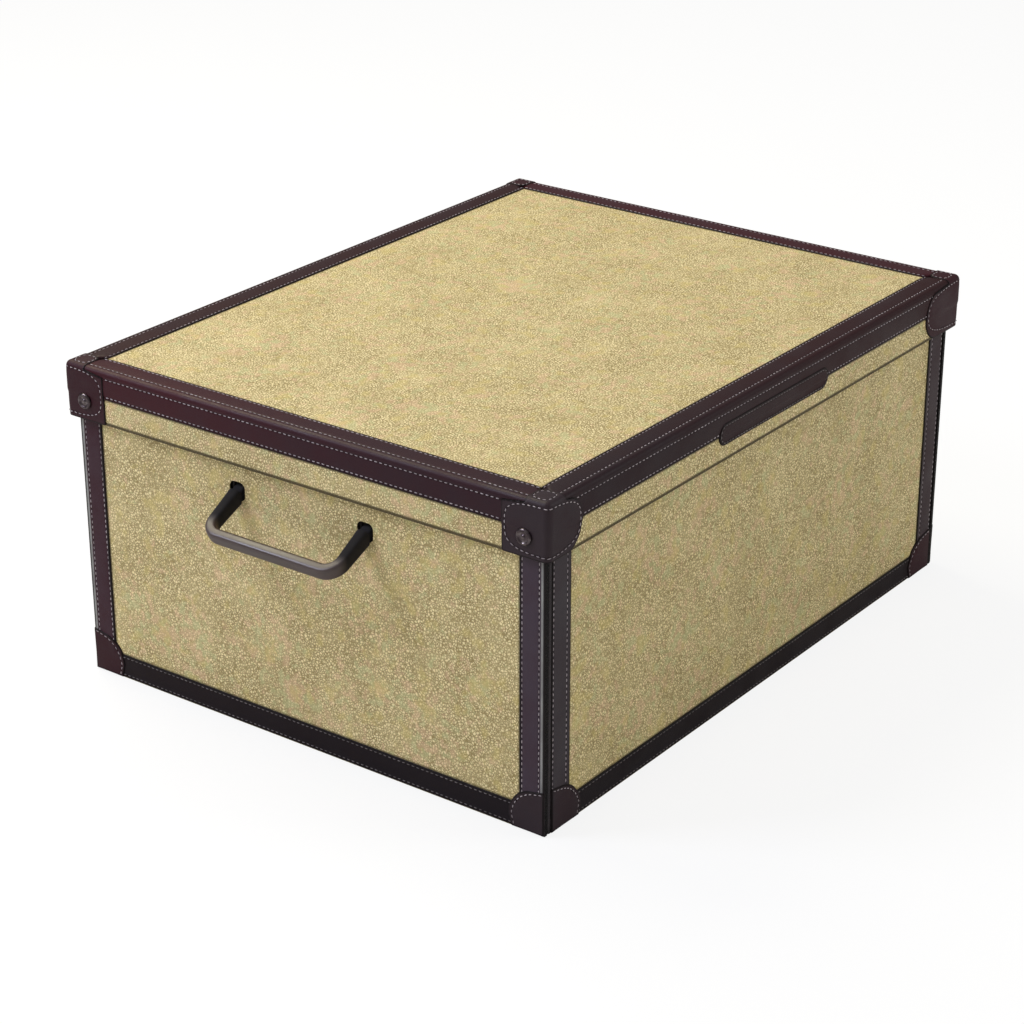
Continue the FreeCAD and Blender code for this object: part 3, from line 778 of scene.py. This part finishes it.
def over_end(a, w):
    """Places along the left edge: on the end skirt below 0, on the top above."""
    return np.stack([np.clip(w, 0, None) - lid_x, a, lid_top + np.clip(w, None, 0)], -1)


def over_side(a, w):
    """Places along the front edge: on the long skirt below 0, on the top above."""
    return np.stack([a, np.clip(w, 0, None) - lid_y, lid_top + np.clip(w, None, 0)], -1)


for name, along, place, signs, skin in (
    ("left", lid_y, over_end, (1, 1), lid_end_lit_leather),
    ("right", lid_y, over_end, (-1, 1), lid_end_lit_leather),
    ("front", lid_x, over_side, (1, 1), lid_side_lit_leather),
    ("back", lid_x, over_side, (1, -1), lid_side_lit_leather),
):
    folded_strip(along, place).trimmed(f"lid_strip_{name}", "lid", skin, thread, signs)

# The lid's corner pieces: thicker leather wrapped round each corner over the strips, with a rounded
# lobe on the long skirt, a square tab on the end and a small cap on the top, sewn round each.
tab, foot, shoulder, cap, cap_round = 33.5, 37.2, 1.6, 17.0, 7.0
lobe_short, lobe_long, lobe_round, tab_round = 33.5, 47.5, 10.0, 1.5
corner_height, corner_skin = 1.3, 0.6
sewn_in, ring_middle, ring_half, cap_middle, cap_half = 2.6, 18.2, 15.6, 9.0, 5.9


def draped(border, drop):
    """The height of thick leather over the edge strip's lower border, by how far each place is
    beneath the lid's top."""
    below = smooth(drop, lid_strip - 0.2, lid_strip + 1.6)
    return rolled(border, 1.0, 0.7) * (corner_height - below * 0.5)


def corner_outline(lobe):
    """The outline round the corner, in places measured in from the sharp corner: back along the
    foot of the end skirt, up its tab, round the cap on the top, and round the lobe on the long
    skirt to the start."""
    middle = (foot + 3) / 2

    def on_end(run):
        return np.stack([np.zeros(len(run)), run[:, 0], -run[:, 1]], -1)

    def on_long(run):
        return np.stack([run[:, 0], np.zeros(len(run)), -run[:, 1]], -1)

    def on_top(run):
        return np.stack([run[:, 0], run[:, 1], np.zeros(len(run))], -1)

    t = np.linspace(0, pi / 2, 14)
    flat = cap - cap_round
    bend_out = np.stack([flat + cap_round * np.sin(t), flat + cap_round * np.cos(t)], -1)
    return chained(
        on_end(straight((0, foot), (tab - tab_round, foot))),
        on_end(arc((tab - tab_round, foot), (tab, foot - tab_round), 0.45, 6)),
        on_end(straight((tab, foot - tab_round), (tab, 3.6))),
        on_end(straight((tab, 3.6), (cap, shoulder))),
        on_end(straight((cap, shoulder), (cap, 0), 0.4)),
        on_top(straight((0, cap), (flat, cap))),
        on_top(bend_out),
        on_top(straight((cap, flat), (cap, 0))),
        on_long(straight((cap, 0), (cap, shoulder), 0.4)),
        on_long(straight((cap, shoulder), (lobe - lobe_round, 2.8))),
        on_long(arc((lobe - lobe_round, 2.8), (lobe, middle), -3.4)),
        on_long(arc((lobe, middle), (lobe - 13, foot), -3.4)),
        on_long(straight((lobe - 13, foot), (0, foot))),
    )


def corner_seams(lobe):
    """The rows of stitches: half a superellipse on each skirt, joined round the corner, and a
    rounded square on the cap."""
    t = np.linspace(-pi / 2, pi / 2, 90)
    end_a, end_b = superellipse(2.0, 2.0, 3.5, t)
    long_a, long_b = superellipse(2.0, 2.0, 2.8, t)
    end_z, long_z = -ring_middle - ring_half * end_b, -ring_middle - ring_half * long_b
    on_end = np.stack([0 * t, (tab - sewn_in) * np.abs(end_a), end_z], -1)
    on_long = np.stack([(lobe - sewn_in) * np.abs(long_a), 0 * t, long_z], -1)
    skirt = np.concatenate([on_end, on_long[::-1]])
    c, d = superellipse(2.0, 2.0, 3.2, np.linspace(0, 2 * pi, 61))
    square = np.stack([cap_middle + cap_half * c, cap_middle + cap_half * d, 0 * c], -1)
    return np.concatenate([skirt, skirt[:1]]), square


def denser(line):
    """A line's points, with two more after each of them and without the last."""
    return np.concatenate([line[:-1] + (line[1:] - line[:-1]) * k / 3 for k in range(3)])


def corner_piece(lobe):
    """A fan from the corner's tip to the outline, over three faces at once, draped over the edge
    strips, a little crowned between the stitches and drawn in along them."""
    outline = corner_outline(lobe)
    grid = fan(outline, np.zeros(3), 22)
    border = near(grid, outline)
    border[0] = 0
    seams = corner_seams(lobe)
    seam = near(grid, np.concatenate([denser(line) for line in seams]))
    height = draped(border, -grid[..., 2]) + 0.12 * smooth(seam, 0.5, 5) * smooth(border, 1, 4)
    height = height - groove(seam, border, 0.22, 0.55)
    corner = np.array([-lid_x, -lid_y, lid_top])
    piece = Sewn()
    piece.sheet(corner + grid, lay_on_lid, height, border, seam, corner_skin, True)
    for line in seams:
        piece.stitches(corner + line, lay_on_lid, corner_height - 0.16)
    return piece


for corner, (x, y) in CORNERS.items():
    made = corner_piece(lobe_short if x == y else lobe_long)
    made.trimmed(f"lid_corner_{corner}", "lid", patch_leather, thread, (-x, -y))

# The label: a bare pill-shaped patch of the same leather, sewn on the front skirt half over the
# edge strip.
label_length, label_height, label_drop, label_sewn_in, label_pitch = 134.0, 15.5, 18.5, 1.9, 3.3


def label():
    """A pill: its half height at x is the round end's circle near the tips and constant between."""
    half, radius = label_length / 2, label_height / 2
    turn = np.linspace(0, pi / 2, 16)
    tip = half - radius + radius * np.sin(turn)
    x = np.concatenate([-tip[::-1], np.linspace(-half + radius, half - radius, 40)[1:-1], tip])
    v = np.sin(np.linspace(-pi / 2, pi / 2, 40))
    past = np.clip(np.abs(x) - (half - radius), 0, radius)
    high = np.sqrt(np.clip(radius**2 - past**2, 0, None))
    X, V = np.meshgrid(x, v, indexing="ij")
    Z = V * high[:, None]
    past = np.clip(np.abs(X) - (half - radius), 0, None)
    border = np.clip(radius - np.hypot(past, Z), 0, None)
    seam = np.abs(border - label_sewn_in)
    drop = label_drop - Z
    height = draped(border, drop) - groove(seam, border)
    q = np.stack([X, np.full_like(X, -lid_y), lid_top - drop], -1)
    piece = Sewn()
    piece.sheet(q, lay_on_lid, height, border, seam)
    turn = np.linspace(-pi / 2, pi / 2, 24)
    inset = radius - label_sewn_in
    right = np.stack([half - radius + inset * np.cos(turn), inset * np.sin(turn)], -1)
    line = np.concatenate([right, -right, right[:1]])
    line = np.stack([line[:, 0], 0 * line[:, 0] - lid_y, lid_top - label_drop + line[:, 1]], -1)
    piece.stitches(line, lay_on_lid, corner_height - 0.2, label_pitch)
    return piece


label().finished(
    "label_patch_sewn", "lid", "label", ["label_patch"], [lid_side_lit_leather, soiled_thread]
)

# The rivets: pressed caps of dark antiqued brass with a dish and a centre boss, one through each
# corner piece, and their closed backs, clinched inside the skirts.
def worn_metal(name, bright, dark, rough):
    """Antiqued metal: bright where it is rubbed, dark where the finish stays, with fine
    scratches."""
    finish = Finish(name, Metallic=1.0)
    place = finish.place
    blotch = place.noise(260, 3)
    scratch = place.noise(2600, 2)
    colour = blotch.step(0.42, 0.70).mix(dark, bright)
    roughness = blotch.step(0.3, 0.7, rough + 0.08, rough) + scratch * 0.05
    return finish.surfaced(colour, roughness, scratch, 0.00002, 0.4)


rivet_metal = worn_metal("rivet_metal", (0.30, 0.26, 0.25), (0.11, 0.085, 0.09), 0.24)
back_metal = worn_metal("rivet_back_metal", (0.17, 0.14, 0.12), (0.07, 0.06, 0.055), 0.42)
rivet_inset, rivet_drop, rivet_radius, rivet_sunk, trim = 18.0, 23.5, 5.5, 0.15, 1.5


def turned(radius, height, seat, out):
    """A profile of radius and height turned about an axis along X."""
    angle = np.linspace(0, 2 * pi, 41)[:-1]
    return np.stack([
        seat[0] + out * height[:, None] + 0 * angle,
        seat[1] + radius[:, None] * np.cos(angle),
        seat[2] + radius[:, None] * np.sin(angle),
    ], -1)


caps, backs = Sewn(), Sewn()
r = np.array([
    0, 0.5, 0.9, 1.15, 1.35, 1.55, 1.8, 2.1, 2.5, 2.9,
    3.2, 3.5, 3.8, 4.1, 4.4, 4.75, 5.05, 5.3, 5.45, rivet_radius,
])
crest = 0.75 + 0.75 * (1 - smooth(r, 1.0, 2.0)) + 0.75 * smooth(r, 3.0, 4.25)
fall = np.sqrt(np.clip(1 - (np.clip(r - 4.3, 0, None) / 1.2) ** 2, 0, 1))
height = np.concatenate([crest * fall, [-0.3, -0.3]])
radius = np.concatenate([r, [rivet_radius, 0]])
back_r = np.array([0, 0.8, 1.2, 1.5, 2.0, 2.8, 3.6, 4.1, 4.4, 4.6, 4.6, 0])
back_h = np.array([0.35, 0.35, 0.5, 0.75, 0.9, 0.85, 0.7, 0.5, 0.25, 0.1, 0, 0])
for x, y in CORNERS.values():
    across, up = y * (lid_y + trim - rivet_inset), lid_top - rivet_drop
    cap_points = turned(radius, height, (x * (lid_x + trim - rivet_sunk), across, up), x)
    back_points = turned(back_r, back_h, (x * (lid_x - board), across, up), -x)
    caps.grid(cap_points if x < 0 else cap_points[:, ::-1], True)
    backs.grid(back_points if x > 0 else back_points[:, ::-1], True)
caps.finished("lid_rivet_caps", "lid", "rivet_metal", ["lid_rivets"], [rivet_metal])
backs.finished("rivet_back_discs", "lid", "rivet_back_metal", ["rivet_backs"], [back_metal])

# The studio: a white floor that keeps the box's shadow, soft light from above, the left and the
# front, and the camera at the photograph's angle. Reflections see a dimmer floor and air than the
# camera does, which keeps the dark leather dark.
floor_white, camera_white, mirrored_grey = (0.90, 0.90, 0.88), (0.95, 0.95, 0.95), (0.5, 0.5, 0.5)
floor_reach, floor_glow, air_light, air_shown, air_mirrored = 30.0, 0.84, 0.52, 0.48, 0.27
floor_finish = Finish("studio_floor", Roughness=0.9, Specular_IOR_Level=0.1)
shown, mirrored = (floor_finish.place.node("LightPath", {}, {}, i) for i in (0, 3))
tree = floor_finish.material.node_tree
white = mirrored.mix(shown.mix(floor_white, camera_white), mirrored_grey)
tree.links.new(white.socket, floor_finish.surface.inputs["Base Color"])
glow = floor_finish.place.node("Emission", {}, {"Color": (1.0, 1.0, 1.0), "Strength": 1.0})
lit = Wire(floor_finish.surface.outputs[0])
both = shown.node("MixShader", {}, {0: shown * floor_glow, 1: lit, 2: glow})
tree.links.new(both.socket, tree.nodes["Material Output"].inputs["Surface"])
corners = floor_reach * np.array([(-1, -1, 0), (1, -1, 0), (1, 1, 0), (-1, 1, 0)])
mesh = bpy.data.meshes.new("studio_floor")
mesh.from_pydata(corners, [], [(0, 1, 2, 3)])
mesh.materials.append(floor_finish.material)
ground = bpy.data.objects.new("studio_floor", mesh)
bpy.context.scene.collection.objects.link(ground)

world = bpy.data.worlds.new("studio_air")
world.use_nodes = True
air = world.node_tree.nodes["Background"]
air.inputs["Color"].default_value = (1.0, 1.0, 1.0, 1)
light_path = Wire(world.node_tree.nodes.new("ShaderNodeLightPath").outputs["Is Camera Ray"])
reflected = Wire(light_path.socket.node.outputs["Is Glossy Ray"])
strength = light_path * air_shown - reflected * air_mirrored + air_light
world.node_tree.links.new(strength.socket, air.inputs["Strength"])
bpy.context.scene.world = world


def soft_light(name, place, size, power, colour):
    """A square soft box that faces the middle of the box."""
    lamp = bpy.data.lights.new(name, "AREA")
    lamp.shape, lamp.size, lamp.energy, lamp.color = "SQUARE", size, power, colour
    box = bpy.data.objects.new(name, lamp)
    bpy.context.scene.collection.objects.link(box)
    box.location = place
    box.rotation_euler = (Vector((0, 0, 0.15)) - Vector(place)).to_track_quat("-Z", "Y").to_euler()


soft_light("overhead", (0.15, 1.2, 1.75), 1.1, 24, (1.0, 0.93, 0.70))
soft_light("left_box", (-1.15, 1.0, 1.5), 0.6, 16, (0.95, 0.99, 1.22))
soft_light("front_box", (1.1, -1.9, 1.4), 1.0, 12, (1.0, 1.0, 1.0))

camera = bpy.data.cameras.new("camera")
camera.sensor_width, camera.lens = 36, 94.816
camera.clip_end = 100
eye = bpy.data.objects.new("camera", camera)
bpy.context.scene.collection.objects.link(eye)
yaw, pitch = radians(36.513), radians(24.223)
eye.location = (-1.39756, -1.01818, 0.85686)
look = Vector((cos(pitch) * cos(yaw), cos(pitch) * sin(yaw), -sin(pitch)))
eye.rotation_euler = look.to_track_quat("-Z", "Y").to_euler()
bpy.context.scene.camera = eye
bpy.context.scene.view_settings.view_transform = "Standard"
